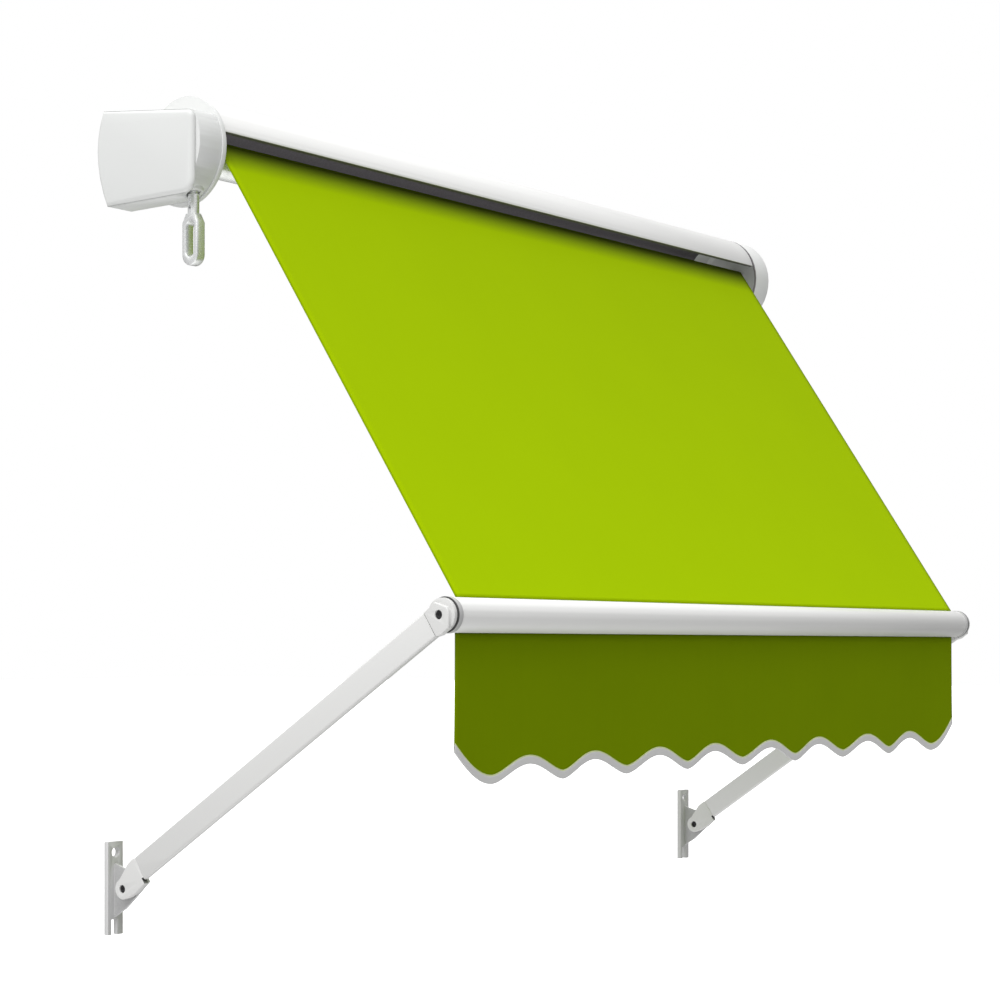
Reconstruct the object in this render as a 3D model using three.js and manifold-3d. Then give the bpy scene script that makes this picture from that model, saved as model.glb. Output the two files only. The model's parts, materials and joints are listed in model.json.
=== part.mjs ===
// Drop-arm window awning: hood, roller with worm drive, canvas, front bar, two drop arms.
// Millimetres. +X runs along the width, +Y into the wall, +Z up.
// The wall plane is Y = 0 and the hood's axis is at Z = 0. Pose: arms all the way out.
import * as THREE from 'three';
import { mergeVertices } from 'three/addons/utils/BufferGeometryUtils.js';
import Module from 'manifold-3d';

const wasm = await Module();
wasm.setup();

// ---- driving dimensions ----
const canvasWidth = 1196;
const clothThickness = 0.6;
const hood = { y: -118, radius: 65, wall: 2.4, left: -599.5, right: 606.5, lipAngle: 165, backAngle: -4 };
const roller = { y: -118, z: -4, radius: 20, wall: 1.6, left: -594, right: 596 };
const guide = { y: -160, z: 2, radius: 4.7 };
const endPlate = { x0: -606, x1: -600, radius: 66.5 };
const endCap = { x0: 607.5, x1: 652, z: -3, radius: 68, wall: 3 };
const gearCase = {
  x0: -650, coverEnd: -640, x1: -606.4, front: -176, round: 64.8, top: 55.5, frontTop: 35.5, bottom: -61.5,
  wall: 2.5,
};
const crank = { x: -620, y: -149 };
const gear = { teeth: 13, pitchRadius: 24, addendum: 1.9, width: 7 };
const bar = { y: -532, z: -563, radius: 19.5, wall: 1.8, halfLength: 609 };
const flange = { radius: 20.2, thickness: 8 };
const arm = { x0: -628, x1: -620, pivotY: -33.4, pivotZ: -894, width: 31.4, wall: 1.3 };
const tubeLift = { low: 5.9, high: -2.1 };
const rightShift = 1289;
const rightLean = -41;
const plate = { x0: -627, x1: -602, thickness: 7, top: -838, bottom: -953 };
const ear = { x0: -616, x1: -612 };
const valance = { sideDrop: 132, peakDrop: 150, lowDrop: 170, scallops: 9 };
const bracketX = { left: -300, middle: 0, right: 300 };
const gap = 0.3;

const reachY = arm.pivotY - bar.y;
const reachZ = bar.z - arm.pivotZ;
const armLength = Math.hypot(reachY, reachZ);
const armTilt = Math.atan2(reachY, reachZ);

// ---- finishes ----
const finish = (color, roughness, metalness = 0) =>
  new THREE.MeshStandardMaterial({ color, roughness, metalness });
const white = finish(0xe9eae8, 0.38);
const arms = finish(0xdcdcda, 0.42);
const castGrey = finish(0xc4c5c4, 0.5);
const whitePlastic = finish(0xe2e4e1, 0.45);
const blackSteel = finish(0x3c3c3e, 0.45, 0.8);
const zincSteel = finish(0xa9abad, 0.42, 0.85);
const brass = finish(0xb08d4a, 0.35, 0.9);
const darkPlastic = finish(0x55585a, 0.55);
const limeCloth = finish(0x9bbe00, 0.85);
const oliveCloth = finish(0x586a00, 0.88);
const cordWhite = finish(0xd8d8d4, 0.7);

const awning = new THREE.Group();

// ---- geometry helpers ----
function signedVolume(geometry) {
  const p = geometry.attributes.position;
  const index = geometry.index;
  const count = index ? index.count : p.count;
  const at = (i) => new THREE.Vector3().fromBufferAttribute(p, index ? index.getX(i) : i);
  let sum = 0;
  for (let i = 0; i < count; i += 3) sum += at(i).dot(at(i + 1).cross(at(i + 2)));
  return sum / 6;
}

// One welded skin whose faces look outward.
function clean(geometry) {
  geometry.deleteAttribute('normal');
  geometry.deleteAttribute('uv');
  const welded = mergeVertices(geometry, 1e-4);
  if (signedVolume(welded) < 0) {
    const index = welded.index;
    for (let i = 0; i < index.count; i += 3) {
      const first = index.getX(i);
      index.setX(i, index.getX(i + 2));
      index.setX(i + 2, first);
    }
  }
  welded.computeVertexNormals();
  return welded;
}

function toManifold(geometry) {
  const g = clean(geometry.clone());
  return new wasm.Manifold(new wasm.Mesh({
    numProp: 3,
    vertProperties: new Float32Array(g.attributes.position.array),
    triVerts: new Uint32Array(g.index.array),
  }));
}

function fromManifold(solid) {
  const mesh = solid.getMesh();
  const g = new THREE.BufferGeometry();
  g.setAttribute('position', new THREE.BufferAttribute(new Float32Array(mesh.vertProperties), 3));
  g.setIndex(new THREE.BufferAttribute(new Uint32Array(mesh.triVerts), 1));
  g.computeVertexNormals();
  return g;
}

function join(...parts) {
  return fromManifold(parts.map(toManifold).reduce((a, b) => a.add(b)));
}

function cut(body, ...tools) {
  return fromManifold(tools.map(toManifold).reduce((a, b) => a.subtract(b), toManifold(body)));
}

function shapeOf(points) {
  return new THREE.Shape(points.map(([a, b]) => new THREE.Vector2(a, b)));
}

function ringShape(outer, inner, cy = 0, cz = 0) {
  const shape = new THREE.Shape();
  shape.absarc(cy, cz, outer, 0, 2 * Math.PI, false);
  if (inner > 0) {
    const hole = new THREE.Path();
    hole.absarc(cy, cz, inner, 0, 2 * Math.PI, true);
    shape.holes.push(hole);
  }
  return shape;
}

function addHole(shape, radius, cy, cz) {
  const hole = new THREE.Path();
  hole.absarc(cy, cz, radius, 0, 2 * Math.PI, true);
  shape.holes.push(hole);
  return shape;
}

// A profile drawn in (Y, Z), pushed from x0 to x1, with its edges rounded by `soft`.
function alongX(shape, x0, x1, { soft = 0, softSteps = 2, segments = 12 } = {}) {
  const g = new THREE.ExtrudeGeometry(shape, {
    depth: x1 - x0 - 2 * soft,
    bevelEnabled: soft > 0,
    bevelThickness: soft,
    bevelSize: soft,
    bevelOffset: -soft,
    bevelSegments: softSteps,
    curveSegments: segments,
    steps: 1,
  });
  const turn = new THREE.Matrix4().makeBasis(
    new THREE.Vector3(0, 1, 0), new THREE.Vector3(0, 0, 1), new THREE.Vector3(1, 0, 0));
  return clean(g.applyMatrix4(turn).translate(x0 + soft, 0, 0));
}

// A profile drawn in (X, Z), pushed from y0 to y1.
function alongY(shape, y0, y1, segments = 10) {
  const g = new THREE.ExtrudeGeometry(shape, {
    depth: y1 - y0, bevelEnabled: false, curveSegments: segments });
  const turn = new THREE.Matrix4().makeBasis(
    new THREE.Vector3(1, 0, 0), new THREE.Vector3(0, 0, 1), new THREE.Vector3(0, -1, 0));
  return clean(g.applyMatrix4(turn).translate(0, y1, 0));
}

// A profile of [radius, x] pairs turned about a line along X.
function turnedX(profile, y, z, segments = 24) {
  const points = profile.map(([r, x]) => new THREE.Vector2(r, x));
  const g = new THREE.LatheGeometry(points, segments);
  return clean(g.rotateZ(-Math.PI / 2).translate(0, y, z));
}

// A profile of [radius, z] pairs turned about a line along Z.
function turnedZ(profile, x, y, segments = 20) {
  const points = profile.map(([r, z]) => new THREE.Vector2(r, z));
  const g = new THREE.LatheGeometry(points, segments);
  return clean(g.rotateX(Math.PI / 2).translate(x, y, 0));
}

function rodZ(radius, z0, z1, x, y, segments = 20) {
  return turnedZ([[0, z0], [radius, z0], [radius, z1], [0, z1]], x, y, segments);
}

function rodX(radius, x0, x1, y, z, segments = 16) {
  return turnedX([[0, x0], [radius, x0], [radius, x1], [0, x1]], y, z, segments);
}

function tubeX(outer, inner, x0, x1, y, z, segments = 28) {
  return turnedX([[inner, x0], [outer, x0], [outer, x1], [inner, x1], [inner, x0]], y, z, segments);
}

function add(parent, name, geometry, material) {
  const mesh = new THREE.Mesh(geometry, material);
  mesh.name = name;
  parent.add(mesh);
  return mesh;
}

function onCircle(radius, degrees) {
  const a = THREE.MathUtils.degToRad(degrees);
  return [hood.y + radius * Math.cos(a), radius * Math.sin(a)];
}

// ---- hood: a half round cover with rolled front and back edges ----
function hoodShape() {
  const outer = hood.radius;
  const inner = hood.radius - hood.wall;
  const shape = new THREE.Shape();
  const from = THREE.MathUtils.degToRad(hood.backAngle);
  const to = THREE.MathUtils.degToRad(hood.lipAngle);
  shape.absarc(hood.y, 0, outer, from, to, false);
  // the front lip turns in, so the edge is stiff
  shape.lineTo(...onCircle(outer - 6, hood.lipAngle));
  shape.lineTo(...onCircle(outer - 6, hood.lipAngle - 2.5));
  shape.lineTo(...onCircle(inner, hood.lipAngle - 2.5));
  shape.absarc(hood.y, 0, inner, to - 0.044, from + 0.044, true);
  shape.lineTo(...onCircle(outer - 6, hood.backAngle + 2.5));
  shape.lineTo(...onCircle(outer - 6, hood.backAngle));
  return shape;
}

function buildHood() {
  add(awning, 'hood', alongX(hoodShape(), hood.left, hood.right, { segments: 26 }), white);
}

// ---- end plate on the drive side, with the roller's bore ----
function buildEndPlate() {
  const disc = addHole(ringShape(endPlate.radius, 0, hood.y, 0), 9, roller.y, roller.z);
  add(awning, 'end_plate_left', alongX(disc, endPlate.x0, endPlate.x1, { segments: 24 }), whitePlastic);
}

// ---- idler side: a drum-shaped cap with a pocket for the bearing ----
function buildEndCap() {
  const { x0, x1, z, radius, wall } = endCap;
  const soft = 7;
  const profile = [[0, x1]];
  for (let i = 4; i >= 0; i -= 1) {
    const a = (i / 4) * Math.PI / 2;
    profile.push([radius - soft + soft * Math.cos(a), x1 - soft + soft * Math.sin(a)]);
  }
  profile.push([radius, x0], [radius - wall, x0], [radius - wall, x1 - soft]);
  profile.push([radius - soft - 1, x1 - wall], [0, x1 - wall]);
  const drum = turnedX(profile, hood.y, z, 40);
  const socket = rodX(14, x0 + 2, x1 - 1, roller.y, roller.z, 24);
  const bore = rodX(7.6, x0 - 2, x0 + 18, roller.y, roller.z, 20);
  add(awning, 'end_cap_right', cut(join(drum, socket), bore), whitePlastic);
}

// ---- gear case: a round drum against the end plate, with a squarer cover over its outer end ----
// Its wall side is bellied and its top falls slightly towards the front.
const caseBack = -20.5;
const roof = (gearCase.top - gearCase.frontTop) / (caseBack - gearCase.front);
const roofAt = (y) => gearCase.top + (y - caseBack) * roof;

function closeCaseBack(s, inset) {
  const { bottom } = gearCase;
  s.lineTo(caseBack - inset, roofAt(caseBack - inset) - inset);
  s.quadraticCurveTo(3.5 - inset, 2, -27 - inset, bottom + inset);
  return s;
}

function coverShape(inset) {
  const { front, bottom } = gearCase;
  const corner = 18 - inset;
  const shoulder = 10 - inset;
  const face = front + inset;
  const s = new THREE.Shape();
  s.moveTo(face + corner, bottom + inset);
  s.quadraticCurveTo(face, bottom + inset, face, bottom + inset + corner);
  s.lineTo(face, roofAt(face) - inset - shoulder);
  s.quadraticCurveTo(face, roofAt(face) - inset, face + shoulder, roofAt(face + shoulder) - inset);
  return closeCaseBack(s, inset);
}

function drumShape(inset) {
  const r = gearCase.round - inset;
  const low = Math.PI + Math.asin(-(gearCase.bottom + inset) / r);
  const slope = Math.atan(roof);
  const reach = roofAt(hood.y) * Math.cos(slope) - inset;
  const high = Math.PI / 2 + slope + Math.acos(reach / r);
  const s = new THREE.Shape();
  s.absarc(hood.y, 0, r, low, high, true);
  return closeCaseBack(s, inset);
}

function buildGearCase() {
  const { x0, coverEnd, x1, wall } = gearCase;
  const cover = alongX(coverShape(0), x0, coverEnd, { soft: 6, softSteps: 3, segments: 7 });
  const drum = alongX(drumShape(0), coverEnd - 3, x1, { segments: 24 });
  const boss = turnedZ([[0, -54], [11, -54], [12, -53], [12, -38], [0, -38]], crank.x, crank.y, 20);
  const coverRoom = alongX(coverShape(wall), x0 + wall, coverEnd - wall,
    { soft: 4, softSteps: 2, segments: 7 });
  const drumRoom = alongX(drumShape(wall), coverEnd - 3 + wall, x1 + 5, { segments: 20 });
  const doorway = alongX(drumShape(12), x0 + wall + 3, coverEnd + 5, { segments: 16 });
  const shaftHole = rodZ(9, -70, -30, crank.x, crank.y);
  add(awning, 'gear_case',
    cut(join(cover, drum, boss), coverRoom, drumRoom, doorway, shaftHole), whitePlastic);
}

// ---- worm drive ----
function wheelShape() {
  const s = [];
  const { teeth, pitchRadius, addendum } = gear;
  const point = (r, turns) => {
    // a gap faces -Y, where the worm runs
    const a = Math.PI + 2 * Math.PI * turns / teeth;
    return [roller.y + r * Math.cos(a), roller.z + r * Math.sin(a)];
  };
  for (let i = 0; i < teeth; i += 1) {
    s.push(point(pitchRadius - 2.4, i + 0.28), point(pitchRadius + addendum, i + 0.42));
    s.push(point(pitchRadius + addendum, i + 0.58), point(pitchRadius - 2.4, i + 0.72));
  }
  const shape = shapeOf(s);
  return addHole(shape, 8.3, roller.y, roller.z);
}

// A core with one helical thread, made as a height field over angle and length.
function wormGeometry(z0, z1) {
  const lead = 2 * Math.PI * gear.pitchRadius / gear.teeth;
  const centre = roller.y - crank.y - gear.pitchRadius;
  const rows = 26;
  const cols = 14;
  const positions = [];
  const index = [];
  for (let i = 0; i <= rows; i += 1) {
    const z = z0 + (z1 - z0) * i / rows;
    for (let j = 0; j < cols; j += 1) {
      const a = 2 * Math.PI * j / cols;
      const turns = (z - roller.z) / lead - (a - Math.PI / 2) / (2 * Math.PI);
      const off = Math.abs(turns - Math.round(turns)) * lead;
      const fade = Math.min(1, (z - z0) / 2, (z1 - z) / 2);
      const rise = THREE.MathUtils.clamp((2.1 - off) / 1.2, 0, 1) * fade;
      const r = centre - 2.6 + rise * 4.2;
      positions.push(crank.x + r * Math.cos(a), crank.y + r * Math.sin(a), z);
    }
  }
  for (let i = 0; i < rows; i += 1) {
    for (let j = 0; j < cols; j += 1) {
      const a = i * cols + j;
      const b = i * cols + (j + 1) % cols;
      index.push(a, b, b + cols, a, b + cols, a + cols);
    }
  }
  const low = positions.length / 3;
  positions.push(crank.x, crank.y, z0, crank.x, crank.y, z1);
  for (let j = 0; j < cols; j += 1) {
    const k = (j + 1) % cols;
    index.push(low, k, j, low + 1, rows * cols + j, rows * cols + k);
  }
  const g = new THREE.BufferGeometry();
  g.setAttribute('position', new THREE.Float32BufferAttribute(positions, 3));
  g.setIndex(index);
  return clean(g);
}

function buildDrive() {
  const half = gear.width / 2;
  const wheel = alongX(wheelShape(), crank.x - half, crank.x + half, { segments: 10 });
  add(awning, 'worm_wheel', wheel, brass);
  const stem = turnedZ([[0, -84], [5, -84], [5, roller.z - 13.5], [0, roller.z - 13.5]],
    crank.x, crank.y, 18);
  add(awning, 'worm_shaft', join(wormGeometry(roller.z - 14, roller.z + 14), stem), zincSteel);
  const bush = turnedZ([[5.1, -54], [8.7, -54], [8.7, -46], [5.1, -46], [5.1, -54]],
    crank.x, crank.y, 20);
  add(awning, 'crank_bush', bush, whitePlastic);
}

// ---- crank eye: a neck and a thick upright loop ----
function buildCrankEye() {
  const { x, y } = crank;
  const loop = new THREE.Shape();
  loop.moveTo(7, -81);
  loop.lineTo(13, -92);
  loop.absarc(0, -130, 13, 0, -Math.PI, true);
  loop.lineTo(-13, -92);
  loop.lineTo(-7, -81);
  const slot = new THREE.Path();
  slot.absarc(0, -97.3, 6.3, 0, Math.PI, false);
  slot.absarc(0, -126.2, 6.3, Math.PI, 2 * Math.PI, false);
  loop.holes.push(slot);
  const ring = alongX(loop, -7, 7, { soft: 2, softSteps: 2, segments: 8 });
  const neck = turnedZ([[0, -88], [7, -88], [7, -58.5], [6, -57.5], [0, -57.5]], 0, 0, 20);
  const bore = rodZ(5.2, -84.4, -50, 0, 0, 18);
  const crossHole = rodX(2, -20, 20, 0, -74, 12);
  const eye = cut(join(ring, neck), bore, crossHole);
  add(awning, 'crank_eye', eye.translate(x, y, 0), zincSteel);
}

// ---- roller tube and its two ends ----
function buildRoller() {
  const { y, z, radius, wall, left, right } = roller;
  add(awning, 'roller_tube', tubeX(radius, radius - wall, left, right, y, z, 32), zincSteel);
  const inner = radius - wall - 0.3;
  const drive = [[0, left - 38], [8, left - 38], [8, left - 3.5], [radius - 1, left - 3.5],
    [radius - 1, left - 0.3], [inner, left - 0.3], [inner, left + 34], [0, left + 34]];
  add(awning, 'roller_drive_plug', turnedX(drive, y, z, 28), darkPlastic);
  const idle = [[0, right - 34], [inner, right - 34], [inner, right + 0.3], [radius - 1, right + 0.3],
    [radius - 1, right + 3], [6, right + 3], [6, right + 24], [0, right + 24]];
  add(awning, 'roller_idler_plug', turnedX(idle, y, z, 28), darkPlastic);
  const bush = tubeX(7.5, 6.1, endCap.x0 + 2.5, endCap.x0 + 17, y, z, 20);
  add(awning, 'idler_bush', bush, brass);
}

// ---- front guide rod: the cloth bends over it on its way out ----
function buildGuide() {
  add(awning, 'guide_rod', rodX(guide.radius, hood.left, hood.right, guide.y, guide.z, 18), castGrey);
}

// ---- saddles that carry the hood on the wall ----
function buildHoodBracket(name, x) {
  const inner = hood.radius + 0.2;
  const strapEnd = 62;
  const s = new THREE.Shape();
  s.moveTo(0, -8);
  s.lineTo(0, 78);
  s.lineTo(-7, 78);
  s.lineTo(-7, 64);
  s.lineTo(-84, 64);
  s.lineTo(...onCircle(inner, strapEnd));
  s.absarc(hood.y, 0, inner, THREE.MathUtils.degToRad(strapEnd), 0, true);
  s.lineTo(hood.y + inner, -8);
  const room = new THREE.Path([[-7, 57], [-7, 0], [-44, 0], [-52, 30], [-62, 47], [-72, 57]]
    .map(([a, b]) => new THREE.Vector2(a, b)));
  s.holes.push(room);
  const body = alongX(s, x - 30, x + 30, { segments: 14 });
  const holes = [-18, 18].map((dx) => new THREE.CylinderGeometry(3.3, 3.3, 20, 16)
    .translate(x + dx, -4, 32));
  add(awning, name, cut(body, ...holes), castGrey);
}

// ---- front bar with its caps, cords and pivot bolts ----
function buildFrontBar() {
  const { y, z, radius, wall, halfLength } = bar;
  const round = ringShape(radius, radius - wall, y, z);
  const grooves = [[0, 1], [0, -1]].map(([, side]) => {
    const deep = radius - 5.5;
    return { side, centre: [y, z + side * deep] };
  });
  const tube = alongX(round, -halfLength, halfLength, { segments: 36 });
  const ribs = grooves.map(({ centre }) => tubeX(4.6, 3.2, -halfLength, halfLength, ...centre, 16));
  const slots = grooves.map(({ side }) => new THREE.BoxGeometry(2 * halfLength + 4, 1.8, 7)
    .translate(0, y, z + side * (radius - 1.5)));
  const bores = grooves.map(({ centre }) => rodX(3.2, -halfLength - 2, halfLength + 2, ...centre, 16));
  add(awning, 'front_bar', cut(join(tube, ...ribs), ...slots, ...bores), white);
  const names = ['canvas_cord', 'valance_cord'];
  grooves.forEach(({ centre }, i) => {
    add(awning, names[i], rodX(2.4, -598, 598, ...centre, 12), cordWhite);
  });
}

function buildBarEnds() {
  const { y, z, radius, wall, halfLength } = bar;
  const inside = radius - wall - 0.2;
  for (const [label, side] of [['left', -1], ['right', 1]]) {
    const x = side * (halfLength + gap);
    const out = side * flange.thickness;
    const disc = rodX(flange.radius, Math.min(x, x + out), Math.max(x, x + out), y, z, 36);
    const deep = x - side * 14;
    const plug = rodX(6.2, Math.min(deep, x + side), Math.max(deep, x + side), y, z, 20);
    const web = new THREE.BoxGeometry(14, 1.8 * inside, 4).translate(x - side * 6.6, y, z);
    const bore = rodX(4.3, -2000, 2000, y, z, 16);
    add(awning, `bar_cap_${label}`, cut(join(disc, plug, web), bore), whitePlastic);
  }
}

// A socket-head pin whose head lies in a knuckle's outer face.
function pivotPin(x0, x1, y, z, socketSide) {
  const head = 4.9;
  const half = [[0, 1.2], [2.4, 1.2], [2.4, 0], [head, 0], [head, 1.8], [3.95, 1.8]];
  const profile = socketSide < 0
    ? [...half.map(([r, d]) => [r, x0 + d]), [3.95, x1], [0, x1]]
    : [...half.map(([r, d]) => [r, x1 - d]), [3.95, x0], [0, x0]].reverse();
  return turnedX(profile, y, z, 20);
}

function buildPivotPins() {
  const sunk = 1.6;
  const rightEnd = arm.x1 + rightShift + rightLean;
  add(awning, 'bar_bolt_left', pivotPin(arm.x0 + sunk, -598, bar.y, bar.z, -1), blackSteel);
  add(awning, 'bar_bolt_right', pivotPin(598, rightEnd - sunk, bar.y, bar.z, 1), blackSteel);
  for (const [label, shift] of [['left', 0], ['right', rightShift]]) {
    const pin = pivotPin(arm.x0 + sunk + shift, ear.x1 - 0.3 + shift, arm.pivotY, arm.pivotZ, -1);
    add(awning, `arm_pin_${label}`, pin, blackSteel);
  }
}

// ---- wall plates: a narrow plate with a screw hole, an open slot and a standing ear ----
function buildWallPlate(label, shift) {
  const { x0, x1, thickness, top, bottom } = plate;
  const middle = (x0 + x1) / 2;
  const slot = [middle - 6.8, middle + 3];
  const flat = shapeOf([[x0, bottom], [slot[0], bottom], [slot[0], bottom + 19], [slot[1], bottom + 19],
    [slot[1], bottom], [x1, bottom], [x1, top], [x0, top]]);
  addHole(flat, 5.9, middle, top - 13.5);
  const back = alongY(flat, -thickness, 0, 10);
  const root = -thickness + 0.5;
  const web = alongX(shapeOf([[root, -931.3], [-16.3, -925.2], [-25.5, -919.6], [-37.4, -909.6],
    [-66.5, -884], [-64.5, -880.5], [-44, -874], [-22.8, -869.9], [root, -864.9]]), ear.x0, ear.x1);
  const { pivotY, pivotZ } = arm;
  const boss = rodX(9, arm.x1 + gap, ear.x0 + 1, pivotY, pivotZ, 24);
  const bore = rodX(4.05, ear.x0 - 20, ear.x1 + 20, pivotY, pivotZ, 18);
  // a shallow channel along the ear's lower edge
  const channel = alongX(shapeOf([[-45, -901.6], [-61.5, -887.1], [-58.6, -883.8], [-42, -898.4]]),
    ear.x0 - 1, ear.x0 + 2.4);
  const whole = cut(join(back, web, boss), bore, channel);
  add(awning, `wall_plate_${label}`, whole.translate(shift, 0, 0), castGrey);
}

// ---- arms, drawn upright along Z from the lower pivot and then tilted as a group ----
function armBoxShape(width, depth, corner) {
  const s = new THREE.Shape();
  const w = width / 2;
  const d = depth / 2;
  s.moveTo(-d + corner, -w);
  s.lineTo(d - corner, -w);
  s.absarc(d - corner, -w + corner, corner, -Math.PI / 2, 0, false);
  s.absarc(d - corner, w - corner, corner, 0, Math.PI / 2, false);
  s.absarc(-d + corner, w - corner, corner, Math.PI / 2, Math.PI, false);
  s.absarc(-d + corner, -w + corner, corner, Math.PI, 1.5 * Math.PI, false);
  return s;
}

// A section drawn in (X, U), pushed along V.
function alongV(shape, v0, v1, segments = 4) {
  return clean(new THREE.ExtrudeGeometry(shape, {
    depth: v1 - v0, bevelEnabled: false, curveSegments: segments }).translate(0, 0, v0));
}

const seamLow = 40.5;
const seamHigh = armLength - 16.8;

// The tube crosses the pivot line at a slight angle, and the right arm leans in towards the bar.
function skew(geometry, inward, low = 0, high = 0) {
  const p = geometry.attributes.position;
  for (let i = 0; i < p.count; i += 1) {
    const share = THREE.MathUtils.clamp((p.getZ(i) - seamLow) / (seamHigh - seamLow), 0, 1);
    p.setXYZ(i, p.getX(i) + inward * share, p.getY(i) + low + (high - low) * share, p.getZ(i));
  }
  return clean(geometry);
}

function armTube(mid, depth) {
  const outer = armBoxShape(arm.width, depth, 2.6);
  const inner = armBoxShape(arm.width - 2 * arm.wall, depth - 2 * arm.wall, 1.4);
  outer.holes.push(new THREE.Path(inner.getPoints(4).reverse()));
  return alongV(outer, seamLow, seamHigh).translate(mid, 0, 0);
}

function tongue(x0, x1, across, v0, v1) {
  return new THREE.BoxGeometry(x1 - x0 - 2 * arm.wall - 1.2, 20, v1 - v0)
    .translate((x0 + x1) / 2, across, (v0 + v1) / 2);
}

function lowerKnuckle(x0, x1) {
  const s = new THREE.Shape();
  const r = 12.8;
  const from = THREE.MathUtils.degToRad(340);
  const to = THREE.MathUtils.degToRad(205);
  s.absarc(0, 0, r, from, to, true);
  s.lineTo(-14.4, 5.4);
  s.lineTo(-15.7, 20.2);
  s.lineTo(-13.6, 37.2);
  s.lineTo(-8.4, 37.4);
  s.lineTo(-6.4, seamLow - gap);
  s.lineTo(21, seamLow - gap);
  s.lineTo(22, 34.3);
  s.lineTo(21.1, 24.3);
  s.lineTo(17.7, 15.8);
  s.lineTo(12.9, 3);
  const body = alongX(s, x0, x1, { soft: 0.7, softSteps: 1, segments: 16 });
  const bore = rodX(4.05, x0 - 20, x1 + 20, 0, 0, 18);
  const counterbore = rodX(5.2, x0 - 5, x0 + 3.6, 0, 0, 20);
  return cut(join(body, tongue(x0, x1, tubeLift.low, seamLow - 4, seamLow + 30)), bore, counterbore);
}

function upperKnuckle(x0, x1, headSide) {
  const points = [[13.6, -16.8 + gap], [14.6, 2.6], [1, 13.9], [-5.3, 13.6], [-19.4, 3.5], [-20, -9.4],
    [-17.6, -16.8 + gap]];
  const s = shapeOf(points.map(([u, v]) => [u, v + armLength]));
  const body = alongX(s, x0, x1, { soft: 0.9, softSteps: 1 });
  const bore = rodX(4.05, x0 - 20, x1 + 20, 0, armLength, 18);
  const deep = headSide < 0 ? [x0 - 5, x0 + 3.6] : [x1 - 3.6, x1 + 5];
  const counterbore = rodX(5.2, ...deep, 0, armLength, 20);
  // a round boss stands between the knuckle and the bar's cap, cut back where the tube ends
  const [b0, b1] = headSide < 0 ? [x0 + 5, x1 + 1.7] : [x0 - 1.7, x1 - 5];
  const [t0, t1] = headSide < 0 ? [x0 - 1, x1 + gap] : [x0 - gap, x1 + 1];
  const trim = new THREE.BoxGeometry(t1 - t0, 60, 20)
    .translate((t0 + t1) / 2, 0, seamHigh + gap - 10);
  const round = cut(rodX(18.8, b0, b1, 0, armLength, 36), trim);
  const inner = tongue(x0, x1, tubeLift.high, seamHigh - 30, seamHigh + 4);
  return cut(join(body, round, inner), bore, counterbore);
}

function armSpring(mid) {
  const turns = 7;
  const v0 = seamLow + 62;
  const v1 = seamLow + 252;
  const radius = 1.7;
  const points = [];
  for (let i = 0; i <= turns * 8; i += 1) {
    const a = 2 * Math.PI * i / 8;
    const v = v0 + (v1 - v0) * i / (turns * 8);
    points.push(new THREE.Vector3(mid + radius * Math.cos(a), radius * Math.sin(a), v));
  }
  const path = new THREE.CatmullRomCurve3(points);
  const wire = new THREE.Shape();
  wire.absarc(0, 0, 0.45, 0, 2 * Math.PI, false);
  return clean(new THREE.ExtrudeGeometry(wire, {
    steps: turns * 9, extrudePath: path, bevelEnabled: false, curveSegments: 2 }));
}

function buildArm(label, shift, headSide, lean) {
  const group = new THREE.Group();
  group.position.set(0, arm.pivotY, arm.pivotZ);
  group.rotation.x = armTilt;
  awning.add(group);
  const x0 = arm.x0 + shift;
  const x1 = arm.x1 + shift;
  const mid = (x0 + x1) / 2;
  const { low, high } = tubeLift;
  const rod = rodZ(0.8, seamLow + 32, seamLow + 300, mid, 0, 10);
  add(group, `arm_tube_${label}`, skew(armTube(mid, x1 - x0), lean, low, high), arms);
  add(group, `arm_knuckle_low_${label}`, skew(lowerKnuckle(x0, x1), lean), arms);
  add(group, `arm_knuckle_high_${label}`, skew(upperKnuckle(x0, x1, headSide), lean), arms);
  add(group, `arm_spring_${label}`, skew(armSpring(mid), lean, low, high), zincSteel);
  add(group, `spring_rod_${label}`, skew(rod, lean, low, high), zincSteel);
}

// ---- cloth, as thin closed bodies ----
const clothEdge = guide.radius + 0.2;
const clothRun = Math.hypot(guide.y - bar.y, guide.z - bar.z - bar.radius);
const clothRise = Math.atan2(guide.z - bar.z - bar.radius, guide.y - bar.y)
  + Math.asin((clothEdge + clothThickness / 2) / clothRun);

function buildCanvas() {
  const along = [Math.cos(clothRise), Math.sin(clothRise)];
  const square = [-along[1], along[0]];
  const start = [guide.y + square[0] * clothEdge, guide.z + square[1] * clothEdge];
  const length = clothRun - 2;
  const corner = (t, n) => [start[0] - along[0] * t + square[0] * n, start[1] - along[1] * t + square[1] * n];
  const outline = [corner(0, 0), corner(length, 0),
    corner(length, clothThickness), corner(0, clothThickness)];
  add(awning, 'canvas', alongX(shapeOf(outline), -canvasWidth / 2, canvasWidth / 2), limeCloth);
  // behind the guide the cloth runs tangent to the roller's top
  const gapY = roller.y - guide.y;
  const gapZ = roller.z - guide.z;
  const rollEdge = roller.radius + 0.3;
  const leadRise = Math.atan2(gapZ, gapY) + Math.asin((rollEdge - clothEdge) / Math.hypot(gapY, gapZ));
  const up = [-Math.sin(leadRise), Math.cos(leadRise)];
  const from = (n) => [guide.y + up[0] * n, guide.z + up[1] * n];
  const to = (n) => [roller.y + up[0] * n, roller.z + up[1] * n];
  const lead = [from(clothEdge + 0.1), to(rollEdge), to(rollEdge + clothThickness),
    from(clothEdge + 0.1 + clothThickness)];
  add(awning, 'canvas_lead', alongX(shapeOf(lead), -canvasWidth / 2, canvasWidth / 2), limeCloth);
}

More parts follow.
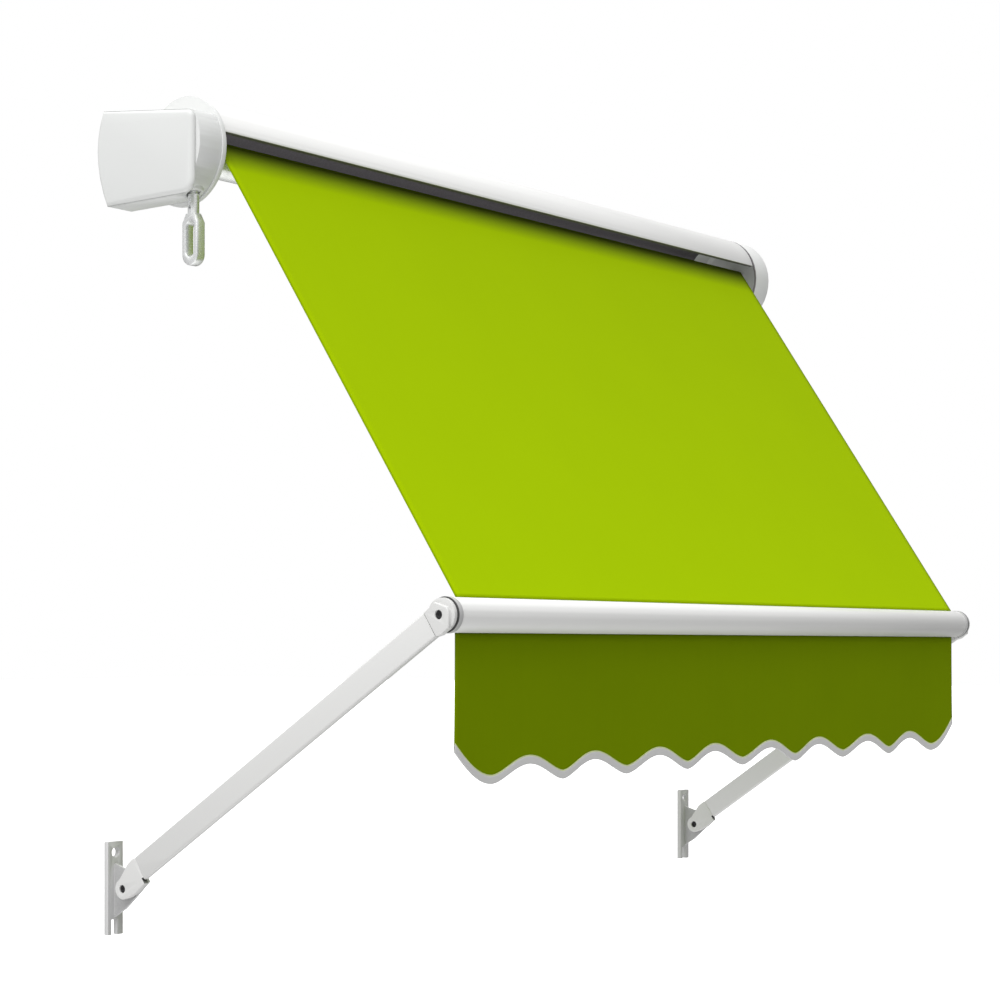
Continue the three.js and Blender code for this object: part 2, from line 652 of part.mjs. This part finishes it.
function buildValance() {
  const top = bar.z - bar.radius - 0.4;
  const half = canvasWidth / 2 + 1;
  const pitch = 2 * half / valance.scallops;
  const outline = [[-half, top], [-half, bar.z - bar.radius - valance.sideDrop]];
  const steps = 8;
  for (let i = 1; i < valance.scallops * steps; i += 1) {
    const t = i / steps;
    const wave = 0.5 - 0.5 * Math.cos(2 * Math.PI * t);
    const side = Math.min(t, valance.scallops - t, 0.5) * 2;
    const high = valance.sideDrop + (valance.peakDrop - valance.sideDrop) * side;
    const drop = high + (valance.lowDrop - valance.peakDrop) * wave;
    outline.push([-half + t * pitch, bar.z - bar.radius - drop]);
  }
  outline.push([half, bar.z - bar.radius - valance.sideDrop], [half, top]);
  const g = alongY(shapeOf(outline), bar.y - clothThickness, bar.y + clothThickness);
  add(awning, 'valance', g, oliveCloth);
}

buildHood();
buildEndPlate();
buildEndCap();
buildGearCase();
buildDrive();
buildCrankEye();
buildRoller();
buildGuide();
for (const [label, x] of Object.entries(bracketX)) buildHoodBracket(`hood_bracket_${label}`, x);
buildFrontBar();
buildBarEnds();
buildPivotPins();
buildWallPlate('left', 0);
buildWallPlate('right', rightShift);
buildArm('left', 0, -1, 0);
buildArm('right', rightShift, 1, rightLean);
buildCanvas();
buildValance();

export default awning;
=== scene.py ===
"""Window awning with drop arms: finishes, cloth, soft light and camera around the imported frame.

Metres. +X along the width, +Y into the wall, +Z up. The wall plane is Y = 0.
"""
import json
import math

import bmesh
import bpy
from mathutils import Matrix, Vector


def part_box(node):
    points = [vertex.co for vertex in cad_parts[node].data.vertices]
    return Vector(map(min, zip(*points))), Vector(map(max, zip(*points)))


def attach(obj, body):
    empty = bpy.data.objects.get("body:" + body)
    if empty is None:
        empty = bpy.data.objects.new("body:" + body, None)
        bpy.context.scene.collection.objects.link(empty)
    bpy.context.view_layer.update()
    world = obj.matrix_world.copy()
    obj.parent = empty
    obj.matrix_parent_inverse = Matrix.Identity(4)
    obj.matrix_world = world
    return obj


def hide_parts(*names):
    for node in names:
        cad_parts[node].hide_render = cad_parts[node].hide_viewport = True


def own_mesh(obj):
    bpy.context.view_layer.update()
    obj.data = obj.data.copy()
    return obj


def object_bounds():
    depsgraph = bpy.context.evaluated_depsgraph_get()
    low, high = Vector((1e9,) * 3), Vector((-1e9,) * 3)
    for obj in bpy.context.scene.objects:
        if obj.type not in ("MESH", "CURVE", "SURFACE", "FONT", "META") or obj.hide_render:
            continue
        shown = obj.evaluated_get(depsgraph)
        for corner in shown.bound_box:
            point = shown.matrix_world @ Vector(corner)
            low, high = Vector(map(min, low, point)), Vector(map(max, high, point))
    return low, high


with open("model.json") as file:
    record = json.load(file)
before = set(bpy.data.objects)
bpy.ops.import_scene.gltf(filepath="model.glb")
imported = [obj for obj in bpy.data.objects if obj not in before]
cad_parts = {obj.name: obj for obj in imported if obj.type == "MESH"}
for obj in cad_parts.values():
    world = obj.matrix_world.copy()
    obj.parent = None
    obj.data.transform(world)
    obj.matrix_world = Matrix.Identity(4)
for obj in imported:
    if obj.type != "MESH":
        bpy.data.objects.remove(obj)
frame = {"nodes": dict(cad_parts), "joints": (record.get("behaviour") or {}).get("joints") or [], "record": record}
cad_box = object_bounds()
nodes = frame["nodes"]

# ---- places read from the frame ----


def middle(node):
    low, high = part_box(node)
    return (Vector(low) + Vector(high)) / 2


def radius_of(node):
    low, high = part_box(node)
    return (high[2] - low[2]) / 2


BAR = middle("front_bar")
BAR_RADIUS = radius_of("front_bar")
GUIDE = middle("guide_rod")
GUIDE_RADIUS = radius_of("guide_rod")
TUBE = middle("roller_tube")
TUBE_RADIUS = radius_of("roller_tube")
HALF_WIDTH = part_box("canvas")[1][0]
PIVOT = Vector(next(j for j in frame["joints"] if j["name"] == "arm_left_fold")["pos_m"])
ARM_WAY = Vector((0, BAR.y - PIVOT.y, BAR.z - PIVOT.z)).normalized()
EAR_INSET = 0.011          # from a plate's outer side to its ear's outer face

CLOTH = 0.0006
ROD_GAP, TUBE_GAP = 0.0002, 0.0004
CLOTH_REACH = GUIDE_RADIUS + ROD_GAP + CLOTH / 2    # guide rod's axis to the middle of the cloth
GUIDE_WRAP, TUBE_WRAP = 0.75, 2.2                   # radians
SAG = 0.0015
BINDING_HEIGHT = 0.009
SCALLOPS = 9
SIDE_DROP, PEAK_DROP, LOW_DROP = 0.132, 0.150, 0.170
RIPPLE = 0.0022


# ---- shader maths ----


class Value:
    """A socket that adds, multiplies and compares by adding Math nodes."""

    def __init__(self, tree, socket):
        self.tree = tree
        self.socket = socket

    def math(self, operation, *others, clamp=False):
        node = self.tree.nodes.new("ShaderNodeMath")
        node.operation = operation
        node.use_clamp = clamp
        for place, item in zip(node.inputs, (self, *others)):
            if isinstance(item, Value):
                self.tree.links.new(item.socket, place)
            else:
                place.default_value = item
        return Value(self.tree, node.outputs[0])

    def __add__(self, other):
        return self.math("ADD", other)

    __radd__ = __add__

    def __mul__(self, other):
        return self.math("MULTIPLY", other)

    __rmul__ = __mul__

    def __sub__(self, other):
        return self.math("SUBTRACT", other)

    def __rsub__(self, other):
        return (self * -1.0) + other

    def __truediv__(self, other):
        return self.math("DIVIDE", other)

    def between(self, low, high):
        """0 below low, 1 above high, straight in between."""
        return ((self - low) / (high - low)).math("MULTIPLY", 1.0, clamp=True)


class Graph:
    """A node tree and the few nodes that everything here is made of."""

    def __init__(self, tree):
        self.tree = tree

    def node(self, kind, settings=None, **inputs):
        """A node of that kind. inputs are values or links by socket name."""
        made = self.tree.nodes.new(kind)
        for key, value in (settings or {}).items():
            setattr(made, key, value)
        for key, value in inputs.items():
            socket = made.inputs[key.replace("_", " ")]
            if isinstance(value, Value):
                self.tree.links.new(value.socket, socket)
            else:
                socket.default_value = value
        return made

    def out(self, made, place=0):
        return Value(self.tree, made.outputs[place])

    def place(self):
        """Object coordinates, in metres."""
        return self.out(self.node("ShaderNodeTexCoord"), "Object")

    def cloth_place(self):
        """The sheet's own coordinates, in metres across and along the cloth."""
        return self.out(self.node("ShaderNodeTexCoord"), "UV")

    def noise(self, where, scale, detail=3.0):
        return self.out(self.node("ShaderNodeTexNoise", Vector=where, Scale=scale, Detail=detail))

    def mix(self, factor, first, second):
        made = self.node("ShaderNodeMix", {"data_type": "RGBA"})
        for key, value in ((0, factor), (6, first), (7, second)):
            if isinstance(value, Value):
                self.tree.links.new(value.socket, made.inputs[key])
            else:
                made.inputs[key].default_value = (*value, 1.0) if key else value
        return Value(self.tree, made.outputs[2])

    def multiply(self, first, second):
        made = self.node("ShaderNodeMix", {"data_type": "RGBA", "blend_type": "MULTIPLY"})
        made.inputs[0].default_value = 1.0
        self.tree.links.new(first.socket, made.inputs[6])
        self.tree.links.new(second.socket, made.inputs[7])
        return Value(self.tree, made.outputs[2])

    def axis(self, where, name):
        return self.out(self.node("ShaderNodeSeparateXYZ", Vector=where), name)


class Finish(Graph):
    """One material, built on a Principled shader."""

    def __init__(self, name, colour, roughness, metallic=0.0):
        self.material = bpy.data.materials.new(name)
        self.material.use_nodes = True
        super().__init__(self.material.node_tree)
        self.shader = self.tree.nodes["Principled BSDF"]
        self.set("Base Color", (*colour, 1.0))
        self.set("Roughness", roughness)
        self.set("Metallic", metallic)

    def set(self, place, value):
        socket = self.shader.inputs[place]
        if isinstance(value, Value):
            self.tree.links.new(value.socket, socket)
        else:
            socket.default_value = value

    def bump(self, height, distance, strength=1.0):
        made = self.node("ShaderNodeBump", Height=height, Distance=distance, Strength=strength)
        self.set("Normal", self.out(made))


def shade(colour, factor):
    return tuple(min(1.0, c * factor) for c in colour)


# ---- colours ----

WHITE = (0.80, 0.80, 0.79)
ARM_WHITE = (0.71, 0.71, 0.70)
GREY = (0.64, 0.64, 0.64)
CAP_GREY = (0.52, 0.52, 0.52)
MOULDED_WHITE = (0.74, 0.75, 0.74)
CORD_WHITE = (0.66, 0.66, 0.64)
MOULDED_BLACK = (0.09, 0.095, 0.10)
ZINC = (0.86, 0.87, 0.87)
STEEL_LIGHT, STEEL_DARK = (0.05, 0.05, 0.052), (0.022, 0.022, 0.024)
BRASS_LIGHT, BRASS_DARK = (0.62, 0.44, 0.15), (0.46, 0.31, 0.10)
LIME_LIGHT, LIME_DARK = (0.366, 0.545, 0.0), (0.342, 0.512, 0.0)
# Valance cloth: the canvas green at about half brightness, as painted shade.
VALANCE_SHADED_LIGHT, VALANCE_SHADED_DARK = (0.18, 0.27, 0.0), (0.152, 0.232, 0.0)
TAPE_LIGHT, TAPE_DARK = (0.685, 0.685, 0.68), (0.61, 0.61, 0.605)
SEAM_LIGHT, SEAM_DARK = (0.68, 0.75, 0.40), (0.56, 0.63, 0.30)

# Shadow painted into a finish. It stays dark in any light.
SHADOW_LIGHT, SHADOW_DARK = (0.19, 0.175, 0.19), (0.10, 0.092, 0.10)
GAP_SHADOW = (0.015, 0.015, 0.015)
JOINT_SHADOW = (0.05, 0.05, 0.05)
CANVAS_SHADOW = (0.03, 0.035, 0.012)
CANVAS_SIDE = (0.13, 0.20, 0.0)
CANVAS_HOOD_SHADE = (0.84, 0.83, 1.0)
LEAD_SHADE = 0.2


# ---- metal and plastic ----


def painted(name, colour, roughness=0.36):
    """Baked paint on aluminium: a faint orange peel and slightly uneven gloss."""
    f = Finish(name, colour, roughness)
    f.where = f.place()
    f.skin = f.mix(f.noise(f.where, 6.0), shade(colour, 0.985), shade(colour, 1.01))
    f.gloss = f.noise(f.where, 38.0) * 0.10 + (roughness - 0.05)
    f.set("Base Color", f.skin)
    f.set("Roughness", f.gloss)
    f.bump(f.noise(f.where, 900.0, 2.0), 0.00002, 0.35)
    return f


def cast(name, colour, dark=0.94, light=1.04):
    """Painted casting: a fine pebbled skin."""
    f = Finish(name, colour, 0.5)
    f.where = f.place()
    f.grain = f.noise(f.where, 420.0, 4.0)
    f.skin = f.mix(f.grain, shade(colour, dark), shade(colour, light))
    f.set("Base Color", f.skin)
    f.set("Roughness", f.grain * 0.16 + 0.44)
    f.bump(f.grain, 0.00012, 0.5)
    return f


def moulded(name, colour, roughness=0.42, scale=700.0, detail=3.0):
    """Moulded plastic: a fine matt texture."""
    f = Finish(name, colour, roughness)
    f.where = f.place()
    f.grain = f.noise(f.where, scale, detail)
    f.skin = f.mix(f.noise(f.where, 9.0), shade(colour, 0.98), shade(colour, 1.01))
    f.set("Base Color", f.skin)
    f.set("Roughness", f.grain * 0.12 + (roughness - 0.06))
    f.bump(f.grain, 0.00004, 0.4)
    return f


def hood_coat(name, colour):
    """White paint, with shadow painted on the inside and on the right cut end."""
    f = painted(name, colour)
    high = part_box("hood")[1]
    out = f.axis(f.where, "Y") - TUBE.y
    height = f.axis(f.where, "Z")
    reach = (out * out + height * height).math("SQRT")
    inside = 1.0 - reach.between(high[2] - 0.0012, high[2] - 0.0004)
    end = f.axis(f.where, "X").between(high[0] - 0.0016, high[0] - 0.0010) * 0.8
    dark = inside.math("MAXIMUM", end)
    # Painted shadow: dark grey mottle on the inside and on the cut end.
    painted_shade = f.mix(f.noise(f.where, 420.0, 4.0), SHADOW_DARK, SHADOW_LIGHT)
    f.set("Base Color", f.mix(dark, f.skin, painted_shade))
    f.set("Roughness", dark * 0.35 + f.gloss)
    return f


def plate_coat(name, colour, node):
    """Painted casting, with painted shade darkening the ear's outer face beside the knuckle."""
    f = cast(name, colour)
    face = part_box(node)[0][0] + EAR_INSET
    off = (f.axis(f.where, "X") - face).math("ABSOLUTE")
    out = f.axis(f.where, "Y") * -1.0
    ear = (1.0 - off.between(0.0002, 0.0005)) * out.between(0.0070, 0.0078)
    # Painted shade: the ear's face darkened and mottled.
    painted_shade = f.mix(f.grain, shade(colour, 0.58), shade(colour, 0.80))
    f.set("Base Color", f.mix(ear, f.skin, painted_shade))
    return f


def knuckle_coat(name, colour):
    """Lower knuckle: paint, with painted shadow, black, where it enters the tube and in the gap below."""
    f = painted(name, colour, 0.42)
    away = f.axis(f.where, "Y") - PIVOT.y
    height = f.axis(f.where, "Z") - PIVOT.z
    along = away * ARM_WAY.y + height * ARM_WAY.z
    across = away * ARM_WAY.z - height * ARM_WAY.y
    below = 1.0 - across.between(-0.0066, -0.0060)
    gap = along.between(0.0370, 0.0374) * below
    tongue = along.between(0.0403, 0.0406)
    # Painted shadow in the gap and at the tube's mouth.
    f.set("Base Color", f.mix(gap.math("MAXIMUM", tongue), f.skin, GAP_SHADOW))
    return f


def end_cap_coat(name, colour):
    """Moulded end cap, with shadow painted on the side that closes the hood."""
    f = moulded(name, colour, scale=420.0, detail=4.0)
    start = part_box("end_cap_right")[0][0]
    inner = 1.0 - f.axis(f.where, "X").between(start + 0.0006, start + 0.0012)
    f.set("Base Color", f.mix(inner, f.skin, f.mix(f.grain, SHADOW_DARK, SHADOW_LIGHT)))
    return f


def cap_coat(name, colour, joint_width):
    """Grey bar cap with painted shadow, a dark line, in the joint round its outer face."""
    f = cast(name, colour, 0.92, 1.05)
    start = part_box("bar_cap_right")[1][0] - joint_width
    # Painted shadow in the seam against the knuckle.
    joint = f.axis(f.where, "X").math("ABSOLUTE").between(start, start + 0.0005)
    f.set("Base Color", f.mix(joint, f.skin, JOINT_SHADOW))
    return f


def zinc(name, colour):
    """Bright plating: soft spangle and a fine grain."""
    f = Finish(name, colour, 0.3, 0.5)
    where = f.place()
    cells = f.node("ShaderNodeTexVoronoi", Vector=where, Scale=140.0)
    spangle = f.out(cells, "Distance")
    f.set("Base Color", f.mix(spangle, shade(colour, 0.92), shade(colour, 1.04)))
    f.set("Roughness", f.noise(where, 260.0) * 0.15 + 0.2)
    f.bump(f.noise(where, 1400.0), 0.00002, 0.3)
    return f


def dark_steel(name):
    f = Finish(name, STEEL_DARK, 0.45, 0.6)
    patina = f.noise(f.place(), 300.0)
    f.set("Base Color", f.mix(patina, STEEL_DARK, STEEL_LIGHT))
    f.set("Roughness", patina * 0.2 + 0.36)
    return f


def turned_brass(name):
    f = Finish(name, BRASS_DARK, 0.3, 0.9)
    tarnish = f.noise(f.place(), 600.0)
    f.set("Base Color", f.mix(tarnish, BRASS_DARK, BRASS_LIGHT))
    f.set("Roughness", tarnish * 0.18 + 0.24)
    return f


# ---- fabric ----


def woven(name, dark, light, thread=0.0009, streak=0.25):
    """Plain-woven acrylic: threads both ways, slightly uneven dye and long faint streaks."""
    f = Finish(name, light, 0.86)
    f.where = f.cloth_place()
    turns = 2 * math.pi / thread
    across = (f.axis(f.where, "X") * turns).math("SINE")
    along = (f.axis(f.where, "Y") * turns).math("SINE")
    weave = across * along * 0.5 + 0.5
    stretched = f.node("ShaderNodeMapping", Vector=f.where)
    stretched.inputs["Scale"].default_value = (90.0, 2.5, 1.0)
    streaks = f.noise(f.out(stretched), 1.0, 4.0)
    cloudy = f.noise(f.where, 7.0)
    tone = weave * 0.10 + streaks * streak + cloudy * (0.9 - streak)
    f.skin = f.mix(tone, dark, light)
    f.set("Base Color", f.skin)
    f.set("Roughness", weave * 0.08 + 0.82)
    f.set("Specular IOR Level", 0.02)
    f.bump(weave, 0.00012, 0.35)
    return f


def canvas_finish():
    """Lime canvas with painted shade: darker towards the hood, with shadow painted under the hood and at the
    sides.
    """
    f = woven("lime_canvas_cloth", LIME_DARK, LIME_LIGHT)
    up = f.axis(f.where, "Y")
    # Painted shade: the cloth darkens steadily towards the hood.
    shade_to_hood = f.mix(up.between(0.0, 0.64) * 0.8, (1.0, 1.0, 1.0), CANVAS_HOOD_SHADE)
    under_hood = up.between(0.620, 0.660) * 0.85
    shaded = f.mix(under_hood, f.multiply(f.skin, shade_to_hood), CANVAS_SHADOW)
    off_middle = (f.axis(f.where, "X") - HALF_WIDTH).math("ABSOLUTE")
    side = off_middle.between(HALF_WIDTH - 0.0034, HALF_WIDTH - 0.0024) * 0.45
    f.set("Base Color", f.mix(side, shaded, CANVAS_SIDE))
    return f


FINISHES = {
    "white_paint": painted("white_powder_coat", WHITE),
    "arm_paint": painted("arm_powder_coat", ARM_WHITE, 0.42),
    "cast_grey": cast("grey_casting", GREY),
    "white_plastic": moulded("white_moulding", MOULDED_WHITE),
    "zinc_steel": zinc("zinc_plate", ZINC),
    "black_steel": dark_steel("black_oxide"),
    "brass": turned_brass("brass"),
    "dark_plastic": moulded("dark_moulding", MOULDED_BLACK, 0.5),
    "cord_plastic": moulded("cord_plastic", CORD_WHITE, 0.6),
}
EDGE = 0.0004
OWN_EDGE = {"hood": 0.0006, "front_bar": 0.0003, "gear_case": 0.0008, "crank_eye": 0.0006}


def finish_cad_nodes():
    """Smooth shading, softened edges and a finish on every metal and plastic part."""
    slots = {row["node"]: row["material_slot"] for row in frame["record"]["subparts"]}
    knuckle = knuckle_coat("knuckle_coat", ARM_WHITE)
    own = {"hood": hood_coat("hood_powder_coat", WHITE),
           "wall_plate_left": plate_coat("left_plate_coat", GREY, "wall_plate_left"),
           "wall_plate_right": plate_coat("right_plate_coat", GREY, "wall_plate_right"),
           "arm_knuckle_low_left": knuckle, "arm_knuckle_low_right": knuckle,
           "end_cap_right": end_cap_coat("end_cap_moulding", MOULDED_WHITE),
           "bar_cap_left": cap_coat("left_cap_coat", CAP_GREY, 0.0014),
           "bar_cap_right": cap_coat("right_cap_coat", CAP_GREY, 0.0026)}
    for name, obj in nodes.items():
        finish = own.get(name, FINISHES.get(slots[name]))
        if finish is None:
            continue
        obj.data.materials.clear()
        obj.data.materials.append(finish.material)
        obj.data.polygons.foreach_set("use_smooth", [True] * len(obj.data.polygons))
        weld = obj.modifiers.new("weld", "WELD")
        weld.merge_threshold = 0.00001
        edge = obj.modifiers.new("edge", "BEVEL")
        edge.width = OWN_EDGE.get(name, EDGE)
        edge.segments = 2
        edge.limit_method = "ANGLE"
        edge.angle_limit = math.radians(34)
        edge.use_clamp_overlap = True
        edge.harden_normals = True


# ---- cloth ----


def sheet_piece(name, columns, rows, place, size, finish, thickness=CLOTH):
    """A grid whose point (u, v), both 0 to 1, goes to place(u, v). UVs are metres on the cloth."""
    mesh = bpy.data.meshes.new(name)
    bm = bmesh.new()
    bmesh.ops.create_grid(bm, x_segments=columns, y_segments=rows, size=0.5)
    uv = bm.loops.layers.uv.new("cloth")
    flat = {v: (v.co.x + 0.5, v.co.y + 0.5) for v in bm.verts}
    for face in bm.faces:
        face.smooth = True
        for loop in face.loops:
            u, v = flat[loop.vert]
            loop[uv].uv = (u * size[0], v * size[1])
    for vert, (u, v) in flat.items():
        vert.co = place(u, v)
    bm.to_mesh(mesh)
    bm.free()
    obj = bpy.data.objects.new(name, mesh)
    bpy.context.scene.collection.objects.link(obj)
    mesh.materials.append(finish.material)
    solid = obj.modifiers.new("thickness", "SOLIDIFY")
    solid.thickness = thickness
    solid.offset = 0.0
    return obj


def side_view(point):
    """The point, moved to the middle of the width."""
    return Vector((0, point.y, point.z))


def run_to_guide(foot):
    """From foot to the guide rod's axis, and the slope of cloth drawn from foot over the rod."""
    run = side_view(GUIDE) - foot
    return run, math.atan2(run.z, run.y) + math.asin(CLOTH_REACH / run.length)


def canvas_line():
    """Where the cloth leaves the bar and the guide rod, its two directions and its slope."""
    foot = Vector((0, BAR.y, BAR.z + BAR_RADIUS + CLOTH / 2))
    _, slope = run_to_guide(foot)
    along = Vector((0, math.cos(slope), math.sin(slope)))
    square = Vector((0, -along.z, along.y))
    top = side_view(GUIDE) + square * CLOTH_REACH
    return foot, top, along, square, slope


def squash_share(length, slope):
    """Share of the cloth left at the swing's limit, so that it meets the bar when folded up."""
    joints = {joint["name"]: joint for joint in frame["joints"]}
    fold = math.radians(joints["arm_left_fold"]["range_deg"][1])
    turned = Matrix.Rotation(-fold, 3, "X") @ side_view(BAR - PIVOT)
    foot = Vector((0, PIVOT.y, PIVOT.z + BAR_RADIUS + CLOTH / 2)) + turned
    run, closed_slope = run_to_guide(foot)
    closed = math.sqrt(run.length_squared - CLOTH_REACH * CLOTH_REACH)
    swung = math.degrees(closed_slope - slope) / joints["canvas_swing"]["range_deg"][1]
    return 1 - (1 - closed / length) / swung


def build_canvas(finish):
    """The sloping sheet, from the bar up and a little way over the guide rod."""
    foot, top, along, square, slope = canvas_line()
    length = (top - foot).length
    total = length + GUIDE_WRAP * CLOTH_REACH

    def place(u, v):
        x = (2 * u - 1) * HALF_WIDTH
        s = v * total
        if s <= length:
            # the middle of the span hangs a hair lower than its edges
            sag = SAG * math.sin(math.pi * s / length) * math.cos(0.5 * math.pi * (2 * u - 1))
            spot = foot + along * s - square * sag
        else:
            turn = (s - length) / CLOTH_REACH
            way = square * math.cos(turn) + along * math.sin(turn)
            spot = side_view(GUIDE) + way * CLOTH_REACH
        return Vector((x, spot.y, spot.z))

    flat = (2 * HALF_WIDTH, total)
    cloth = sheet_piece("awning_canvas", 96, 120, place, flat, finish)
    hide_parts("canvas")
    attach(cloth, "canvas")
    tuple(along)
    tuple(top)
    squash_share(length, slope)
    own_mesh(cloth)


def build_lead(finish):
    """From the guide rod back to the roller, and part of a turn round its tube."""
    slope = canvas_line()[-1]
    outer = CLOTH_REACH + CLOTH
    roll = TUBE_RADIUS + TUBE_GAP + CLOTH / 2
    gap = side_view(TUBE - GUIDE)
    rise = math.atan2(gap.z, gap.y) + math.asin((roll - outer) / gap.length)
    run = math.sqrt(gap.length_squared - (roll - outer) ** 2)
    first = outer * (slope - rise)
    total = first + run + roll * TUBE_WRAP

    def turned(centre, radius, angle):
        normal = Vector((0, -math.sin(angle), math.cos(angle)))
        return side_view(centre) + normal * radius

    def place(u, v):
        s = v * total
        if s < first:
            spot = turned(GUIDE, outer, slope - s / outer)
        elif s < first + run:
            share = (s - first) / run
            spot = turned(GUIDE, outer, rise).lerp(turned(TUBE, roll, rise), share)
        else:
            spot = turned(TUBE, roll, rise - (s - first - run) / roll)
        return Vector(((2 * u - 1) * HALF_WIDTH, spot.y, spot.z))

    flat = (2 * HALF_WIDTH, total)
    cloth = sheet_piece("canvas_on_roller", 24, 48, place, flat, finish)
    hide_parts("canvas_lead")
    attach(cloth, "root")


def scallop_drop(u):
    """How far the valance's edge hangs below the bar, at share u of its width."""
    t = u * SCALLOPS
    from_side = min(t, SCALLOPS - t)
    if from_side < 0.5:
        return SIDE_DROP + (LOW_DROP - SIDE_DROP) * math.sin(math.pi * from_side)
    wave = 1 - abs(math.cos(math.pi * t)) ** 1.6
    return PEAK_DROP + (LOW_DROP - PEAK_DROP) * wave


def build_valance(cloth_finish, tape_finish, seam_finish):
    """The scalloped cloth, the tape that binds its edge and the line of stitches above the tape."""
    half = HALF_WIDTH + 0.001
    width = 2 * half
    top = BAR.z - BAR_RADIUS + 0.0015
    columns = SCALLOPS * 24
    deepest = LOW_DROP + 0.0005

    def hung(u, drop):
        """The point at share u and that drop. The free part drifts a little out of its plane."""
        ripple = RIPPLE * (drop / deepest) ** 2 * math.sin(2 * math.pi * (u * 4.5 + 0.2))
        return Vector(((2 * u - 1) * half, BAR.y + ripple, top - drop))

    def place(u, v):
        return hung(u, (scallop_drop(u) - 0.002) * (1 - v))

    def on_edge(low, high):
        return lambda u, v: hung(u, scallop_drop(u) - (low + (high - low) * v))

    cloth = sheet_piece("valance_cloth", columns, 14, place, (width, deepest), cloth_finish, 0.0008)
    tape = sheet_piece("valance_binding", columns, 4, on_edge(0.0, BINDING_HEIGHT),
                       (width, BINDING_HEIGHT), tape_finish, 0.0022)
    soften = tape.modifiers.new("soft_edge", "BEVEL")
    soften.width = 0.0005
    soften.segments = 2
    seam = sheet_piece("valance_seam", columns, 2,
                       on_edge(BINDING_HEIGHT - 0.0003, BINDING_HEIGHT + 0.0014),
                       (width, 0.0017), seam_finish, 0.0014)
    samples = 900
    area = width * sum(scallop_drop(i / samples) for i in range(samples)) / samples
    for piece in (cloth, tape, seam):
        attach(piece, "front_bar")
    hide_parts("valance")


def build_cloth():
    lead = woven("shaded_canvas_cloth", shade(LIME_DARK, LEAD_SHADE), shade(LIME_LIGHT, LEAD_SHADE))
    build_canvas(canvas_finish())
    build_lead(lead)
    # The valance cloth is the canvas green darkened as painted shade.
    build_valance(woven("shaded_valance_cloth", VALANCE_SHADED_DARK, VALANCE_SHADED_LIGHT),
                  woven("binding_tape", TAPE_DARK, TAPE_LIGHT, thread=0.0007, streak=0.1),
                  woven("seam_thread", SEAM_DARK, SEAM_LIGHT, thread=0.0012))


# ---- camera, floor and light ----

CAMERA_PLACE = (-2.4995, -2.0555, -0.5987)
CAMERA_TURN = 51.03
CAMERA_SHIFT = (0.0548, 0.1477)
FOCAL = 80.27
SENSOR = 36.0

SKY_BASE, SKY_HIGH, SKY_TOP, SKY_SIDE = 0.14, 1.65, 0.35, 0.40
KEY_PLACE, KEY_TARGET, KEY_SIZE = (-3.0, -1.0, 2.8), (0, -0.3, -0.3), (2.2, 2.2)
KEY_POWER = 60
FLOOR_REACH, FLOOR_DROP = 30, 0.25


def build_camera():
    data = bpy.data.cameras.new("camera")
    data.sensor_width = SENSOR
    data.lens = FOCAL
    data.shift_x, data.shift_y = CAMERA_SHIFT
    data.clip_end = 100
    camera = bpy.data.objects.new("camera", data)
    camera.location = CAMERA_PLACE
    camera.rotation_euler = (math.radians(90), 0, math.radians(-CAMERA_TURN))
    bpy.context.scene.collection.objects.link(camera)
    bpy.context.scene.camera = camera


def area_light(name, place, target, size, power):
    data = bpy.data.lights.new(name, "AREA")
    data.shape = "RECTANGLE"
    data.size, data.size_y = size
    data.energy = power
    light = bpy.data.objects.new(name, data)
    light.location = place
    way = Vector(target) - Vector(place)
    light.rotation_euler = way.to_track_quat("-Z", "Y").to_euler()
    bpy.context.scene.collection.objects.link(light)


def build_world():
    """Bright above and below, dim at the horizon, with some light from the drive side."""
    world = bpy.data.worlds.new("studio")
    world.use_nodes = True
    sky = Graph(world.node_tree)
    direction = sky.out(sky.node("ShaderNodeTexCoord"), "Generated")
    height = sky.axis(direction, "Z")
    side = (sky.axis(direction, "X") * -1.0).math("MAXIMUM", 0.0)
    strength = height * height * SKY_HIGH + height.math("MAXIMUM", 0.0) * SKY_TOP
    strength = strength + side * SKY_SIDE + SKY_BASE
    seen = sky.out(sky.node("ShaderNodeLightPath"), "Is Camera Ray")
    background = sky.tree.nodes["Background"]
    background.inputs["Color"].default_value = (1, 1, 1, 1)
    sky.tree.links.new((strength * (1 - seen) + seen).socket, background.inputs["Strength"])
    bpy.context.scene.world = world


def build_floor():
    """A pale floor that neither lights the awning nor shows in it."""
    mesh = bpy.data.meshes.new("floor")
    bm = bmesh.new()
    bmesh.ops.create_grid(bm, x_segments=1, y_segments=1, size=FLOOR_REACH)
    bmesh.ops.translate(bm, verts=bm.verts, vec=(0, 0, cad_box[0][2] - FLOOR_DROP))
    bm.to_mesh(mesh)
    bm.free()
    floor = bpy.data.objects.new("floor", mesh)
    bpy.context.scene.collection.objects.link(floor)
    pale = Finish("pale_floor", (0.9, 0.9, 0.9), 0.9)
    pale.set("Emission Color", (1, 1, 1, 1))
    pale.set("Emission Strength", 0.5)
    mesh.materials.append(pale.material)
    floor.visible_diffuse = False
    floor.visible_glossy = False


build_camera()
build_world()
build_floor()
area_light("key", KEY_PLACE, KEY_TARGET, KEY_SIZE, KEY_POWER)
bpy.context.scene.view_settings.view_transform = "Standard"
finish_cad_nodes()
build_cloth()
